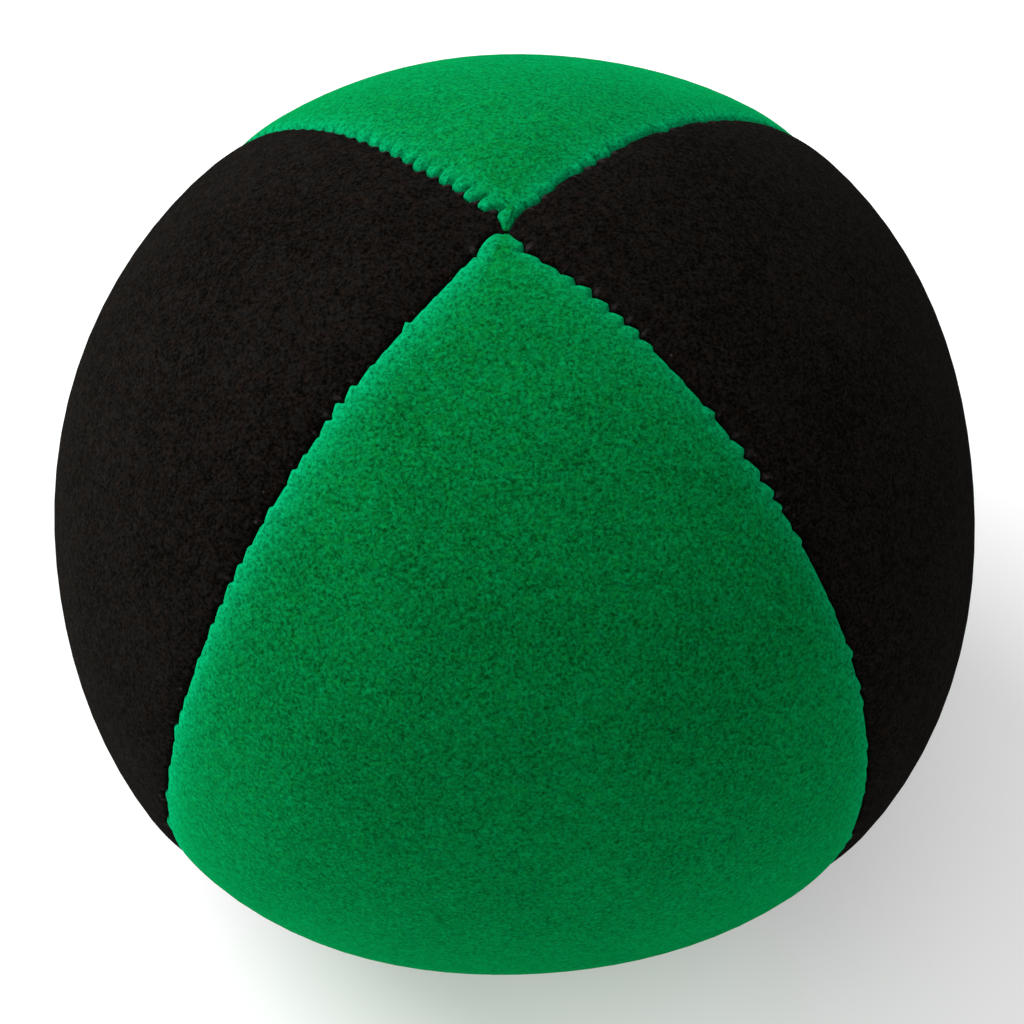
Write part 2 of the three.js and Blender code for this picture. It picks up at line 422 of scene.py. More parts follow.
def edge_columns(sizes, roll, half, allowance, inner):
    """(across, depth) of one panel edge, row by row, for the cloth's right side or its wrong side.

    half is the distance from the seam to the panel's middle. The edge shrinks where the panel grows narrow.
    """
    pressed = min(sizes.pressed_cloth, ROLL_FILL * roll) if inner else 0
    roll_scale = np.minimum(1, ROLL_SHARE * half / (sizes.seam_gap + roll))[:, None]
    beside_scale = np.minimum(1, BESIDE_SHARE * half / BESIDE_ROLL[-1])[:, None]
    turn = roll - pressed
    turned_in = np.full(len(TURNED_IN_SHARES), pressed)
    rolled = np.concatenate((turned_in, roll - turn * np.cos(ROLL_TURNS)))
    crest = (sizes.seam_gap + roll) * roll_scale
    across = np.hstack(((rolled + sizes.seam_gap) * roll_scale, crest + BESIDE_ROLL * beside_scale))
    start = roll * roll_scale
    spare = np.maximum(allowance[:, None] - start, LEAST_ALLOWANCE)
    inside = start + np.array(TURNED_IN_SHARES) * spare
    roll_depth = (roll - turn * np.sin(ROLL_TURNS)) * roll_scale
    thickening = pressed + (sizes.cloth - pressed) * BESIDE_ROLL / BESIDE_ROLL[-1] * inner
    depth = np.hstack((inside, roll_depth, thickening * np.minimum(roll_scale, beside_scale**0.5)))
    return across, depth


def seam_side(sizes, seam, polar, reach, side, give, across, depth, inner):
    """(azimuth, depth, nearness to the seam, pull) of the columns beside one seam of a panel.

    side is 1 where the panel lies on the seam's right, and -1 where it lies on its left.
    """
    scale = np.minimum(1, QUARTER / 2 * reach / NARROW_HALF)[:, None]
    lap, pinch = stitch_shape(sizes, seam, polar)
    buried = fading(depth, BURIED_DEPTH)
    lap = lap[:, None] * scale * fading(across, LAP_WIDTH) * buried
    azimuth = seam_azimuth(sizes, seam, polar)[:, None] + (side * across + lap) / reach[:, None]
    pull = give * pinch[:, None] * scale * fading(across, PULL_WIDTH) * buried
    dip = sizes.dip * scale * np.exp(-across / DIP_WIDTH)
    lift = LOBE_LIFT * give * np.abs(lap) * fading(across, LIFT_WIDTH)
    relief = 0 if inner else sizes.pinch * pull - lift
    # The nearness to the seam sets where the painted highlight along it falls.
    nearness = seam.nap * np.exp(-across / (seam.nap * SEAM_HIGHLIGHT_WIDTH)) * scale
    return azimuth, depth + dip + relief, nearness, pull


def panel_face(sizes, first, second, polar, swell, roll, give, inner):
    """One side of a panel as rows of points from seam to seam, each point's nearness to a seam and its pull.

    roll is the radius of its folded edges, and give the share of a stitch's pull that its cloth follows.
    """
    reach = cover_radius(sizes, polar, math.radians(first.azimuth)) * np.sin(polar)
    half = QUARTER / 2 * reach
    near_pole = np.minimum(polar, math.pi - polar)
    allowance = np.interp(near_pole, ALLOWANCE_ANGLES, (POLE_ALLOWANCE, sizes.allowance))
    across, depth = edge_columns(sizes, roll, half, allowance, inner)
    left = seam_side(sizes, first, polar, reach, 1, give, across, depth, inner)
    right = seam_side(sizes, second, polar, reach, -1, give, across, depth, inner)
    share = np.linspace(0, 1, OPEN_COLUMNS + 2)[1:-1]
    middle = left[0][:, -1:] + (right[0][:, -1:] - left[0][:, -1:]) * share
    flat = np.broadcast_to(left[1][:, -1:], middle.shape)
    plain = np.zeros(middle.shape)
    azimuth, depth, nearness, pulls = (
        np.hstack((one, between, other[:, ::-1]))
        for one, between, other in zip(left, (middle, flat, plain, plain), right)
    )
    scale = np.minimum(1, half / NARROW_HALF)[:, None]
    depth = depth - swell_at(swell, polar[:, None], azimuth) * scale
    depth = depth + POLE_DIMPLE_DEPTH * fading(reach[:, None], POLE_DIMPLE_WIDTH)
    grid_polar = np.broadcast_to(polar[:, None], azimuth.shape)
    return cover_points(sizes, grid_polar, azimuth, depth), nearness, pulls


# --- Cloth simulation of the swell between the seams -------------------------------------------------


def swell_mesh(sizes):
    """The whole cover as rings of squares closed by a fan at each pole, a little small."""
    polar = np.linspace(0, math.pi, SWELL_RINGS + 1)[1:-1]
    azimuth = np.arange(SWELL_SPOKES) * 2 * math.pi / SWELL_SPOKES - QUARTER / 2
    grid_polar, grid_azimuth = np.meshgrid(polar, azimuth, indexing="ij")
    radius = cover_radius(sizes, grid_polar, grid_azimuth)
    points = (direction(grid_polar, grid_azimuth) * radius[..., None] * SWELL_START).reshape(-1, 3)
    top = len(points)
    poles = [(0, 0, sizes.radius * SWELL_START), (0, 0, -rest_height(sizes) * SWELL_START)]
    faces = []
    for ring in range(len(polar) - 1):
        for spoke in range(SWELL_SPOKES):
            ahead = (spoke + 1) % SWELL_SPOKES
            here, below = ring * SWELL_SPOKES, (ring + 1) * SWELL_SPOKES
            faces.append((here + spoke, below + spoke, below + ahead, here + ahead))
    last = (len(polar) - 1) * SWELL_SPOKES
    for spoke in range(SWELL_SPOKES):
        ahead = (spoke + 1) % SWELL_SPOKES
        faces.append((top, spoke, ahead))
        faces.append((top + 1, last + ahead, last + spoke))
    mesh = bpy.data.meshes.new("swell")
    mesh.from_pydata(points.tolist() + poles, [], faces)
    pinned = [
        ring * SWELL_SPOKES + quarter * SWELL_SPOKES // 4
        for ring in range(len(polar))
        for quarter in range(4)
    ]
    return mesh, pinned + [top, top + 1], radius * SWELL_START


def simulate_swell(sizes):
    """Blows the pinned cover up as cloth, and returns how high it stands above its seams."""
    mesh, pinned, start = swell_mesh(sizes)
    cover = bpy.data.objects.new("swell", mesh)
    bpy.context.scene.collection.objects.link(cover)
    group = cover.vertex_groups.new(name="sewn")
    group.add(pinned, 1.0, "REPLACE")
    cloth = cover.modifiers.new("cloth", "CLOTH").settings
    cloth.quality = 6
    cloth.mass = 0.3
    cloth.tension_stiffness = 25
    cloth.compression_stiffness = 25
    cloth.shear_stiffness = 8
    cloth.bending_stiffness = 0.6
    cloth.use_pressure = True
    cloth.uniform_pressure_force = 4
    cloth.vertex_group_mass = "sewn"
    cloth.effector_weights.gravity = 0
    scene = bpy.context.scene
    for step in range(1, SWELL_FRAMES + 1):
        scene.frame_set(step)
    blown = cover.evaluated_get(bpy.context.evaluated_depsgraph_get()).data
    count = start.size
    points = np.empty(len(blown.vertices) * 3)
    blown.vertices.foreach_get("co", points)
    radius = np.linalg.norm(points.reshape(-1, 3)[:count], axis=1).reshape(start.shape)
    scene.frame_set(1)
    bpy.data.objects.remove(cover)
    bpy.data.meshes.remove(mesh)
    height = radius - start
    height = np.clip(height / np.percentile(height, SWELL_PERCENTILE), 0, SWELL_LIMIT) * sizes.swell
    return refine(height - SWELL_LEVEL * sizes.swell)


def refine(field):
    """Halves a field's steps a few times and smooths it. Azimuth wraps round."""
    for _ in range(SWELL_REFINEMENTS):
        for axis in (0, 1):
            ahead = np.roll(field, -1, axis)
            if axis == 0:
                ahead[-1] = field[-1]
            field = np.stack((field, (field + ahead) / 2), axis=axis + 1)
            shape = list(field.shape)
            shape[axis : axis + 2] = [shape[axis] * 2]
            field = field.reshape(shape)
            before, after = np.roll(field, 1, axis), np.roll(field, -1, axis)
            if axis == 0:
                before[0], after[-1] = field[0], field[-1]
            field = (before + 2 * field + after) / 4
    return field


def swell_at(field, polar, azimuth):
    """The swell's height at any place, between its grid's points."""
    rings, spokes = field.shape
    first = math.pi / SWELL_RINGS
    down = np.clip((polar - first) / (math.pi - 2 * first) * (rings - 1), 0, rings - 1.001)
    along = ((azimuth + QUARTER / 2) / (2 * math.pi) * spokes) % spokes
    ring, spoke = np.floor(down).astype(int), np.floor(along).astype(int)
    lower, ahead = down - ring, along - spoke
    spoke, following = spoke % spokes, (spoke + 1) % spokes
    near = field[ring, spoke] * (1 - ahead) + field[ring, following] * ahead
    far = field[ring + 1, spoke] * (1 - ahead) + field[ring + 1, following] * ahead
    return near * (1 - lower) + far * lower


# --- Materials -----------------------------------------------------------------------------------------


class Signal:
    """A node's output as a value in an expression. Each operator adds its Math node."""

    def __init__(self, finish, socket):
        self.finish = finish
        self.socket = socket

    def _math(self, operation, first, second):
        sockets = {"Value": first, "Value_001": second}
        return self.finish.node("ShaderNodeMath", {"operation": operation}, sockets)

    def __add__(self, other):
        return self._math("ADD", self, other)

    def __radd__(self, other):
        return self._math("ADD", other, self)

    def __sub__(self, other):
        return self._math("SUBTRACT", self, other)

    def __rsub__(self, other):
        return self._math("SUBTRACT", other, self)

    def __mul__(self, other):
        return self._math("MULTIPLY", self, other)

    def __rmul__(self, other):
        return self._math("MULTIPLY", other, self)

    def __lt__(self, other):
        return self._math("LESS_THAN", self, other)


class Finish:
    """A material and its nodes."""

    def __init__(self, name):
        self.material = bpy.data.materials.new(name)
        self.material.use_nodes = True
        self.tree = self.material.node_tree
        self.shader = self.tree.nodes["Principled BSDF"]

    def node(self, kind, settings=None, sockets=None, output=None):
        """Adds a node: its settings first, then the values or links of its sockets."""
        made = self.tree.nodes.new(kind)
        for name, value in (settings or {}).items():
            setattr(made, name, value)
        for name, value in (sockets or {}).items():
            self.feed(made, name, value)
        found = next(s for s in made.outputs if output in (None, s.identifier, s.name))
        return Signal(self, found)

    def feed(self, node, name, value):
        socket = next(s for s in node.inputs if name in (s.identifier, s.name))
        if isinstance(value, Signal):
            self.tree.links.new(value.socket, socket)
        else:
            socket.default_value = value

    def surface(self, **sockets):
        """Sets the shader's own sockets; underscores stand for the spaces in their names."""
        for name, value in sockets.items():
            self.feed(self.shader, name.replace("_", " "), value)

    def blend(self, factor, first, second):
        """A colour between two colours."""
        sockets = {"Factor_Float": factor, "A_Color": first, "B_Color": second}
        return self.node("ShaderNodeMix", {"data_type": "RGBA"}, sockets, "Result_Color")

    def noise(self, place, size, detail=2.0, roughness=0.5, distortion=0.0):
        """Cloudy noise with patches of about the given size, from 0 to 1."""
        sockets = {
            "Vector": place,
            "Scale": 1 / size,
            "Detail": detail,
            "Roughness": roughness,
            "Distortion": distortion,
        }
        return self.node("ShaderNodeTexNoise", {}, sockets, "Fac")

    def clamp(self, value):
        return self.node("ShaderNodeClamp", {}, {"Value": value})

    def attribute(self, name):
        """A number that the mesh carries at each point."""
        return self.node("ShaderNodeAttribute", {"attribute_name": name}, output="Fac")

    def bump(self, height, strength, distance):
        """The surface's normal, tilted by a height."""
        sockets = {"Strength": strength, "Distance": distance, "Height": height}
        return self.node("ShaderNodeBump", {}, sockets, "Normal")

    def place(self):
        """The point's own place on its piece."""
        return self.node("ShaderNodeTexCoord", output="Object")


def opaque(rgb):
    """A colour with full alpha, as sockets want it."""
    return (*rgb, 1.0)


def nap(finish, place):
    """The short pile: tufts, clumps of them, slow patches where it is brushed, and the normal they give."""
    tufts = finish.noise(place, 0.25 * MM, 2.0, 0.6, 0.5)
    clumps = finish.noise(place, 0.8 * MM, 1.0, 0.5, 0.3)
    patches = finish.noise(place, 9 * MM, 2.0, 0.5)
    return tufts, clumps, patches, finish.bump(tufts * 0.7 + clumps * 0.5, 0.75, 0.12 * MM)


def green_velour(colours):
    finish = Finish("green_velour_finish")
    place = finish.place()
    tufts, clumps, patches, pile = nap(finish, place)
    edge, pull = finish.attribute("edge"), finish.attribute("pull")
    tint = finish.noise(place, 0.55 * MM, 1.0, 0.5)
    # Painted shade: where a stitch pulls the cloth into the seam, the green is painted darker.
    tips = 0.42 + (tufts - 0.5) * 2.0 + (clumps - 0.5) * 0.35 + (patches - 0.5) * 0.3 - pull * 0.3
    cool = finish.clamp(0.4 + (tint - 0.5) * 3.0)
    lit = finish.blend(cool, opaque(colours.green_lit), opaque(colours.green_cool))
    plain = finish.blend(finish.clamp(tips), opaque(colours.green_deep), lit)
    # Painted highlight: along the seams the green blends towards a lighter, bluer colour, where the rolled
    # edges catch the light.
    rim = finish.clamp(edge * (tufts * 1.8 - 0.35))
    shade = finish.blend(rim, plain, opaque(colours.green_seam_highlight))
    finish.surface(
        Base_Color=shade,
        Roughness=0.9,
        Specular_IOR_Level=0.0,
        Sheen_Weight=0.31,
        Sheen_Roughness=0.6,
        Sheen_Tint=opaque(colours.green_sheen),
        Normal=pile,
    )
    return finish.material


def black_velour(colours):
    finish = Finish("black_velour_finish")
    place = finish.place()
    tufts, clumps, patches, pile = nap(finish, place)
    edge, pull = finish.attribute("edge"), finish.attribute("pull")
    tint = finish.noise(place, 0.7 * MM, 1.0, 0.5)
    tips = 0.42 + (tufts - 0.5) * 2.8 + (clumps - 0.5) * 0.8 + (patches - 0.5) * 0.5
    cool = finish.clamp(0.5 + (tint - 0.5) * 4.0)
    lit = finish.blend(cool, opaque(colours.black_lit), opaque(colours.black_cool))
    plain = finish.blend(finish.clamp(tips), opaque(colours.black_deep), lit)
    cells = {"Vector": place, "Scale": 1 / (1.4 * MM)}
    specks = finish.node("ShaderNodeTexVoronoi", {"feature": "F1"}, cells, "Distance")
    chance = finish.node("ShaderNodeTexVoronoi", {"feature": "F1"}, cells, "Color")
    pick = finish.node("ShaderNodeSeparateColor", {}, {"Color": chance}, "Red")
    # The specks are lint; near the seams they grow larger and more frequent, and there they are painted
    # glints of pile catching the light.
    lint_and_glints = finish.clamp((edge * 0.05 + 0.065 - specks) * 16) * (pick < (edge * 1.2 + 0.12))
    # Painted highlight: at each stitch the black pile is painted lighter, as if catching the light.
    stitch_glints = finish.clamp(pull * 22 - 0.4) * tufts
    shade = finish.blend(finish.clamp(lint_and_glints + stitch_glints), plain, opaque(colours.lint_and_glints))
    finish.surface(
        Base_Color=shade,
        Roughness=0.92,
        Specular_IOR_Level=0.0,
        Sheen_Weight=0.0095,
        Sheen_Roughness=0.6,
        Sheen_Tint=opaque(colours.black_sheen),
        Normal=pile,
    )
    return finish.material


def black_thread(colours):
    finish = Finish("black_thread_finish")
    place = finish.place()
    plies = finish.noise(place, 0.12 * MM, 1.0, 0.5, 1.2)
    dark = tuple(0.5 * share for share in colours.thread)
    finish.surface(
        Base_Color=finish.blend(plies, opaque(dark), opaque(colours.thread)),
        Roughness=0.6,
        Specular_IOR_Level=0.1,
        Normal=finish.bump(plies, 0.6, 0.04 * MM),
    )
    return finish.material


def millet(colours):
    finish = Finish("millet_finish")
    place = finish.place()
    husks = finish.noise(place, 2.2 * MM, 2.0, 0.5)
    streaks = finish.noise(place, 0.5 * MM, 3.0, 0.6, 0.5)
    brown = finish.clamp((husks - 0.5) * 2.2 + streaks)
    finish.surface(
        Base_Color=finish.blend(brown, opaque(colours.grain_pale), opaque(colours.grain_brown)),
        Roughness=0.42,
        Specular_IOR_Level=0.4,
        Normal=finish.bump(streaks, 0.3, 0.06 * MM),
    )
    return finish.material


def pale_floor(colours, glow):
    finish = Finish("pale_floor")
    place = finish.place()
    cloud = finish.noise(place, 0.25, 2.0, 0.5)
    dim = tuple(0.985 * share for share in colours.floor)
    finish.surface(
        Base_Color=finish.blend(cloud, opaque(dim), opaque(colours.floor)),
        Roughness=0.85,
        Specular_IOR_Level=0.15,
        Emission_Color=(1, 1, 1, 1),
        Emission_Strength=glow,
    )
    return finish.material


FINISHES = {
    "green_velour": green_velour,
    "black_velour": black_velour,
    "black_thread": black_thread,
    "millet": millet,
}


def dress(piece, slot):
    """Gives a piece its finish, its material slot and its body."""
    made = bpy.data.materials.get(slot + "_finish") or FINISHES[slot](bpy.context.scene.ball_colours)
    piece.data.materials.clear()
    piece.data.materials.append(made)
    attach(piece, BODY)


# --- Building pieces -------------------------------------------------------------------------------------


def deselect():
    bpy.ops.object.select_all(action="DESELECT")


def panel_mesh(name, right_side, wrong_side, nearness, pulls):
    """A closed sheet of cloth: the right side, the wrong side, and the cut edges between them."""
    rows, columns = right_side.shape[:2]
    points = np.concatenate((right_side.reshape(-1, 3), wrong_side.reshape(-1, 3)))
    back = rows * columns
    index = np.arange(back).reshape(rows, columns)
    here, below = index[:-1, :-1], index[1:, :-1]
    outer = np.stack((here, below, below + 1, here + 1), axis=-1).reshape(-1, 4)
    inner = outer[:, ::-1] + back
    border = np.concatenate((index[:, 0], index[-1, 1:], index[-2::-1, -1], index[0, -2:0:-1]))
    ahead = np.roll(border, -1)
    rim = np.stack((ahead, border, border + back, ahead + back), axis=-1)
    faces = np.concatenate((outer, inner, rim))
    mesh = bpy.data.meshes.new(name)
    mesh.vertices.add(len(points))
    mesh.vertices.foreach_set("co", points.astype(np.float32).ravel())
    mesh.loops.add(faces.size)
    mesh.loops.foreach_set("vertex_index", faces.astype(np.int32).ravel())
    mesh.polygons.add(len(faces))
    mesh.polygons.foreach_set("loop_start", np.arange(0, faces.size, 4, dtype=np.int32))
    mesh.update(calc_edges=True)
    mesh.validate()
    for title, values in (("edge", nearness), ("pull", pulls)):
        attribute = mesh.attributes.new(title, "FLOAT", "POINT")
        both = np.concatenate((values.ravel(), np.zeros(values.size)))
        attribute.data.foreach_set("value", both.astype(np.float32))
    piece = bpy.data.objects.new(name, mesh)
    bpy.context.scene.collection.objects.link(piece)
    return piece


class BALL_OT_sew_cover(bpy.types.Operator):
    """Sews the four velour panels"""

    bl_idname = "juggling_ball.sew_cover"
    bl_label = "Sew Cover"

    def execute(self, context):
        sizes = context.scene.ball_sizes
        swell = simulate_swell(sizes)
        polar = np.linspace(FIRST_ROW, math.pi - FIRST_ROW, PANEL_ROWS + 1)
        for name, (start, end, slot) in PANELS.items():
            first, second = SEAMS[start], SEAMS[end]
            if end == "front_left":
                first = replace(first, azimuth=first.azimuth - 360)
            green = slot == "green_velour"
            roll, give = (sizes.edge_roll, GREEN_GIVE) if green else (sizes.black_roll, BLACK_GIVE)
            right_side, nearness, pulls = panel_face(sizes, first, second, polar, swell, roll, give, False)
            wrong_side = panel_face(sizes, first, second, polar, swell, roll, give, True)[0]
            panel = panel_mesh(name + "_velour", right_side, wrong_side, nearness, pulls)
            deselect()
            panel.select_set(True)
            bpy.ops.object.shade_smooth()
            dress(panel, slot)
            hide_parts(name)
        return {"FINISHED"}


def stitch_piece(name, points, radius, steps=1):
    """One stitch of thread, drawn as a curve through points in stitch lengths and millimetres.

    steps is the number of straight pieces from point to point.
    """
    deselect()
    bpy.ops.curve.primitive_bezier_curve_add(location=(0, 0, 0))
    curve = bpy.context.object
    curve.name = name
    spline = curve.data.splines[0]
    spline.bezier_points.add(len(points) - 2)
    for knot, place in zip(spline.bezier_points, points):
        knot.co = place
        knot.handle_left_type = "AUTO"
        knot.handle_right_type = "AUTO"
    curve.data.resolution_u = steps
    curve.data.bevel_depth = radius / MM
    curve.data.bevel_resolution = 1
    curve.data.use_fill_caps = True
    bpy.ops.object.convert(target="MESH")
    return bpy.context.object


def facing(outward):
    """A turn that takes +Z to the given direction."""
    return Vector(outward).to_track_quat("Z", "Y").to_matrix().to_4x4()


def seam_frames(sizes, seam, stops, depth):
    """For each stitch, a matrix that takes the drawn stitch to its place in the seam."""
    azimuth = seam_azimuth(sizes, seam, stops)
    points = cover_points(sizes, stops, azimuth, np.full(len(stops), depth))
    outward = direction(stops, azimuth)
    frames = []
    for place, ahead, up in zip(points[:-1], points[1:], outward[:-1]):
        along = Vector(ahead - place)
        across = Vector(up).cross(along).normalized()
        columns = (along, across * MM, Vector(up) * MM)
        turned = Matrix(columns).transposed().to_4x4()
        frames.append(Matrix.Translation(place) @ turned)
    return frames


def run_of_stitches(name, template, frames):
    """Copies a stitch to every frame, joins the copies into one thread and removes the template.

    A mirrored frame turns its copy inside out, so that copy's faces are turned back.
    """
    deselect()
    copies = []
    for turned in frames:
        copy = template.copy()
        copy.data = template.data.copy()
        copy.data.transform(turned)
        if turned.determinant() < 0:
            copy.data.flip_normals()
        bpy.context.scene.collection.objects.link(copy)
        copy.select_set(True)
        copies.append(copy)
    bpy.context.view_layer.objects.active = copies[0]
    bpy.ops.object.join()
    thread = bpy.context.object
    thread.name = name
    bpy.ops.object.shade_smooth()
    bpy.data.objects.remove(template)
    return thread


# A lockstitch arch: from one crossing of the two threads, out along the cloth's wrong side, to the next. It
# starts this far off the other thread, and sinks by this share of how far out it goes.
ARCH = ((0, 0), (0.06, 0.42), (0.2, 0.66), (0.5, 0.7), (0.8, 0.66), (0.94, 0.42), (1, 0))
ARCH_LIFT = 0.09
ARCH_SINK = 0.25

# A ladder stitch: across the opening, then down and along inside the fold.
RUNG = (
    (0, -0.66, -0.5),
    (0, -0.36, -0.08),
    (0, 0.36, -0.08),
    (0.08, 0.66, -0.5),
    (0.5, 0.72, -0.55),
    (1, 0.66, -0.5),
)
LADDER_DEPTH = 0.5 * MM

# The knot: how far past the opening and how deep it lies, its points, and its loops' size and swing in
# millimetres.
KNOT_BEYOND = math.radians(1.4)
KNOT_DEPTH = 0.6 * MM
KNOT_POINTS = 24
KNOT_SIZE = 0.1
KNOT_SWING = 0.13


class BALL_OT_stitch_seams(bpy.types.Operator):
    """Lays the needle and bobbin threads of the machine seams"""

    bl_idname = "juggling_ball.stitch_seams"
    bl_label = "Stitch Seams"

    def execute(self, context):
        sizes = context.scene.ball_sizes
        for name in ("front_left", "rear_right"):
            stops = stitch_stops(sizes, SEAMS[name])[0][2:-2]
            self.lay(sizes, name, [(SEAMS[name], stops, 1)])
        front = stitch_stops(sizes, SEAMS["front_right"])[0][1:-1]
        rear = stitch_stops(sizes, SEAMS["rear_left"])[0][1:-1]
        rear = rear[rear > sizes.opening_end]
        self.lay(sizes, "joining_seam", [(SEAMS["front_right"], front, 1), (SEAMS["rear_left"], rear, -1)])
        return {"FINISHED"}

    def lay(self, sizes, name, runs):
        """One needle thread and one bobbin thread along one or two runs of a seam."""
        depth = sizes.dip + sizes.thread_depth
        for kind, side in (("needle", 1), ("bobbin", -1)):
            frames = []
            for seam, stops, turn in runs:
                mirrored = Matrix.Diagonal((1, turn, 1, 1))
                frames += [placed @ mirrored for placed in seam_frames(sizes, seam, stops, depth)]
            arch = [(along, side * out, side * ARCH_LIFT - ARCH_SINK * out) for along, out in ARCH]
            template = stitch_piece(f"{name}_{kind}_stitch", arch, sizes.thread)
            title = f"{name}_{kind}_thread"
            thread = run_of_stitches(title + "_stitches", template, frames)
            dress(thread, "black_thread")
            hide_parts(title)


class BALL_OT_close_opening(bpy.types.Operator):
    """Closes the filling opening with ladder stitches and a knot"""

    bl_idname = "juggling_ball.close_opening"
    bl_label = "Close Opening"

    def execute(self, context):
        sizes = context.scene.ball_sizes
        seam = SEAMS["rear_left"]
        stops = stitch_stops(sizes, seam)[0]
        stops = stops[(stops > sizes.opening_start) & (stops < sizes.opening_end)]
        frames = seam_frames(sizes, seam, stops, sizes.dip + LADDER_DEPTH)
        flipped = Matrix.Diagonal((1, -1, 1, 1))
        frames[1::2] = [placed @ flipped for placed in frames[1::2]]
        template = stitch_piece("ladder_stitch", RUNG, sizes.thread)
        thread = run_of_stitches("closing_thread_stitches", template, frames)
        dress(thread, "black_thread")
        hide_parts("closing_thread")
        self.tie_knot(sizes)
        return {"FINISHED"}

    def tie_knot(self, sizes):
        """A small overhand knot, drawn as a trefoil, pulled into the groove at the opening's end."""
        polar = np.array(sizes.opening_end + KNOT_BEYOND)
        azimuth = seam_azimuth(sizes, SEAMS["rear_left"], polar)
        centre = Vector(cover_points(sizes, polar, azimuth, np.array(sizes.dip + KNOT_DEPTH)))
        loops = []
        for step in range(KNOT_POINTS):
            turn = 2 * math.pi * step / KNOT_POINTS
            x = math.sin(turn) + 2 * math.sin(2 * turn)
            y = math.cos(turn) - 2 * math.cos(2 * turn)
            loops.append((x * KNOT_SIZE, y * KNOT_SIZE, -KNOT_SWING * math.sin(3 * turn)))
        template = stitch_piece("knot", loops, sizes.thread * 0.95, steps=3)
        placed = Matrix.Translation(centre) @ facing(direction(polar, azimuth)) @ Matrix.Scale(MM, 4)
        knot = run_of_stitches("closing_knot_tied", template, [placed])
        dress(knot, "black_thread")
        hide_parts("closing_knot")


# Each outer grain lies this share of its length below the cloth, and up to the next number deeper.
GRAIN_DEPTH = 0.55
GRAIN_SCATTER = 0.3 * MM

# The grains are out of line by about this angle, and near the poles by up to the angle over the next number.
GRAIN_DISORDER = 0.012
LEAST_GRAIN_CIRCLE = 0.2

# The core starts this share of a grain's length below the cloth.
CORE_DEPTH = 0.8


def grain_places(sizes):
    """Evenly spread places on the heap of grain, by the golden angle, with a little disorder."""
    noise = np.random.default_rng(19)
    count = sizes.grains
    share = (np.arange(count) + 0.5) / count
    polar = np.arccos(1 - 2 * share)
    azimuth = np.arange(count) * math.pi * (3 - math.sqrt(5))
    azimuth = azimuth + noise.normal(0, GRAIN_DISORDER, count) / np.maximum(np.sin(polar), LEAST_GRAIN_CIRCLE)
    depth = sizes.cloth + GRAIN_DEPTH * sizes.grain + noise.uniform(0, GRAIN_SCATTER, count)
    return polar, azimuth % (2 * math.pi), depth, noise.uniform(0, 2 * math.pi, count)


class BALL_OT_fill_ball(bpy.types.Operator):
    """Heaps the millet inside the cover"""

    bl_idname = "juggling_ball.fill_ball"
    bl_label = "Fill Ball"

    def execute(self, context):
        sizes = context.scene.ball_sizes
        deselect()
        bpy.ops.mesh.primitive_uv_sphere_add(segments=8, ring_count=5, radius=0.5, location=(0, 0, 0))
        grain = context.object
        bpy.ops.object.mode_set(mode="EDIT")
        bpy.ops.mesh.select_all(action="SELECT")
        bpy.ops.transform.resize(value=(1.0, 0.84, 0.8))
        bpy.ops.object.mode_set(mode="OBJECT")
        frames = []
        for polar, azimuth, depth, turn in zip(*grain_places(sizes)):
            place = Vector(cover_points(sizes, np.array(polar), np.array(azimuth), np.array(depth)))
            turned = facing(direction(polar, azimuth)) @ Matrix.Rotation(turn, 4, "Z")
            frames.append(Matrix.Translation(place) @ turned @ Matrix.Scale(sizes.grain, 4))
        heap = run_of_stitches("millet_grains", grain, frames)
        self.fill_core(context, sizes, heap)
        dress(heap, "millet")
        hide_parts("millet_filling")
        return {"FINISHED"}

    def fill_core(self, context, sizes, heap):
        """Packs the middle of the heap as one body under the outer grains, flat over the rest patch."""
        depth = sizes.cloth + CORE_DEPTH * sizes.grain
        centre = Vector(ball_centre(sizes))
        deselect()
        bpy.ops.mesh.primitive_ico_sphere_add(subdivisions=5, radius=sizes.radius - depth, location=centre)
        core = context.object
        bpy.ops.object.transform_apply(location=True, rotation=True, scale=True)
        bpy.ops.object.mode_set(mode="EDIT")
        bpy.ops.mesh.select_all(action="SELECT")
        level = Vector((0, 0, CAD_LOW.z + depth))
        bpy.ops.mesh.bisect(plane_co=level, plane_no=(0, 0, -1), use_fill=True, clear_outer=True)
        bpy.ops.object.mode_set(mode="OBJECT")
        heap.select_set(True)
        context.view_layer.objects.active = heap
        bpy.ops.object.join()


# Softboxes: azimuth and elevation in degrees, then distance and side in metres.
SOFTBOXES = {
    "key": (-120, 45, 0.6, 0.5),
    "top": (-20, 70, 0.6, 0.5),
    "edge": (-90, 8, 0.7, 0.4),
    "back": (170, 45, 0.6, 0.5),
    "fill": (90, 35, 0.7, 0.6),
}

# In millimetres.
SENSOR_WIDTH = 36


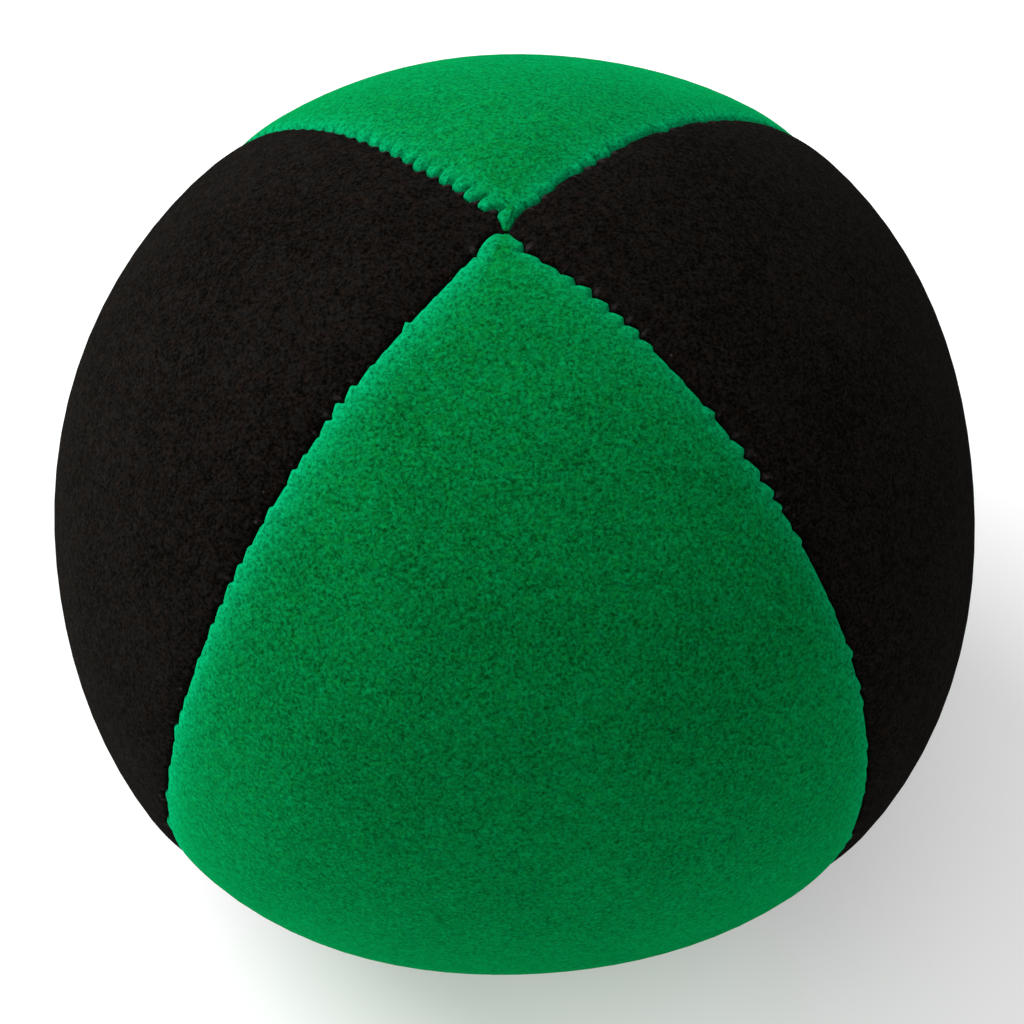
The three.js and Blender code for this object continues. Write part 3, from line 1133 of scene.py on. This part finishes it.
class BALL_OT_set_stage(bpy.types.Operator):
    """Sets the floor, the lights and the camera"""

    bl_idname = "juggling_ball.set_stage"
    bl_label = "Set Stage"

    def execute(self, context):
        scene = context.scene
        stage, sizes = scene.ball_stage, scene.ball_sizes
        self.lay_floor(scene)
        centre = Vector(ball_centre(sizes))
        for name, (azimuth, elevation, distance, side) in SOFTBOXES.items():
            light = bpy.data.lights.new(name, "AREA")
            light.shape = "DISK"
            light.size = side
            light.energy = getattr(stage, name)
            lamp = bpy.data.objects.new(name, light)
            away = Vector(direction(math.radians(90 - elevation), math.radians(azimuth)))
            lamp.location = centre + away * distance
            lamp.rotation_euler = away.to_track_quat("Z", "Y").to_euler()
            lamp.visible_camera = False
            scene.collection.objects.link(lamp)
        world = bpy.data.worlds.new("studio")
        world.use_nodes = True
        sky = world.node_tree.nodes["Background"]
        sky.inputs["Color"].default_value = (1, 1, 1, 1)
        sky.inputs["Strength"].default_value = stage.sky
        scene.world = world
        scene.view_settings.view_transform = "Standard"
        self.aim_camera(scene, stage, centre)
        return {"FINISHED"}

    def lay_floor(self, scene):
        """A pale table top just under the ball."""
        deselect()
        bpy.ops.mesh.primitive_plane_add(size=FLOOR_SIDE, location=(0, 0, CAD_LOW.z - FLOOR_DROP))
        floor = bpy.context.object
        floor.name = "floor"
        bpy.ops.object.transform_apply(location=True, rotation=True, scale=True)
        floor.data.materials.append(pale_floor(scene.ball_colours, scene.ball_stage.table))

    def aim_camera(self, scene, stage, centre):
        """A long lens, aimed at the ball's centre."""
        data = bpy.data.cameras.new("camera")
        data.lens = stage.lens
        data.sensor_width = SENSOR_WIDTH
        data.shift_x = stage.shift_x
        data.shift_y = stage.shift_y
        data.clip_start = 0.01
        camera = bpy.data.objects.new("camera", data)
        back = Vector(direction(QUARTER - stage.elevation, stage.azimuth))
        camera.location = centre + back * stage.distance
        turn = facing(back) @ Matrix.Rotation(-stage.roll, 4, "Z")
        camera.rotation_euler = turn.to_euler()
        scene.collection.objects.link(camera)
        scene.camera = camera


class BALL_PT_sidebar(bpy.types.Panel):
    """Sizes and steps of the juggling ball"""

    bl_idname = "BALL_PT_sidebar"
    bl_label = "Juggling Ball"
    bl_space_type = "VIEW_3D"
    bl_region_type = "UI"
    bl_category = "Juggling Ball"

    def draw(self, context):
        for group in (context.scene.ball_sizes, context.scene.ball_colours, context.scene.ball_stage):
            box = self.layout.box()
            for name in group.__annotations__:
                box.prop(group, name)
        for step in STEPS:
            self.layout.operator(step.bl_idname)


STEPS = (
    BALL_OT_sew_cover,
    BALL_OT_stitch_seams,
    BALL_OT_close_opening,
    BALL_OT_fill_ball,
    BALL_OT_set_stage,
)
CLASSES = (BallSizes, BallColours, StageSettings, *STEPS, BALL_PT_sidebar)


def register():
    for item in CLASSES:
        bpy.utils.register_class(item)
    bpy.types.Scene.ball_sizes = PointerProperty(type=BallSizes)
    bpy.types.Scene.ball_colours = PointerProperty(type=BallColours)
    bpy.types.Scene.ball_stage = PointerProperty(type=StageSettings)


def unregister():
    del bpy.types.Scene.ball_stage
    del bpy.types.Scene.ball_colours
    del bpy.types.Scene.ball_sizes
    for item in reversed(CLASSES):
        bpy.utils.unregister_class(item)


def main():
    register()
    bpy.ops.juggling_ball.sew_cover()
    bpy.ops.juggling_ball.stitch_seams()
    bpy.ops.juggling_ball.close_opening()
    bpy.ops.juggling_ball.fill_ball()
    bpy.ops.juggling_ball.set_stage()


if __name__ == "__main__":
    main()
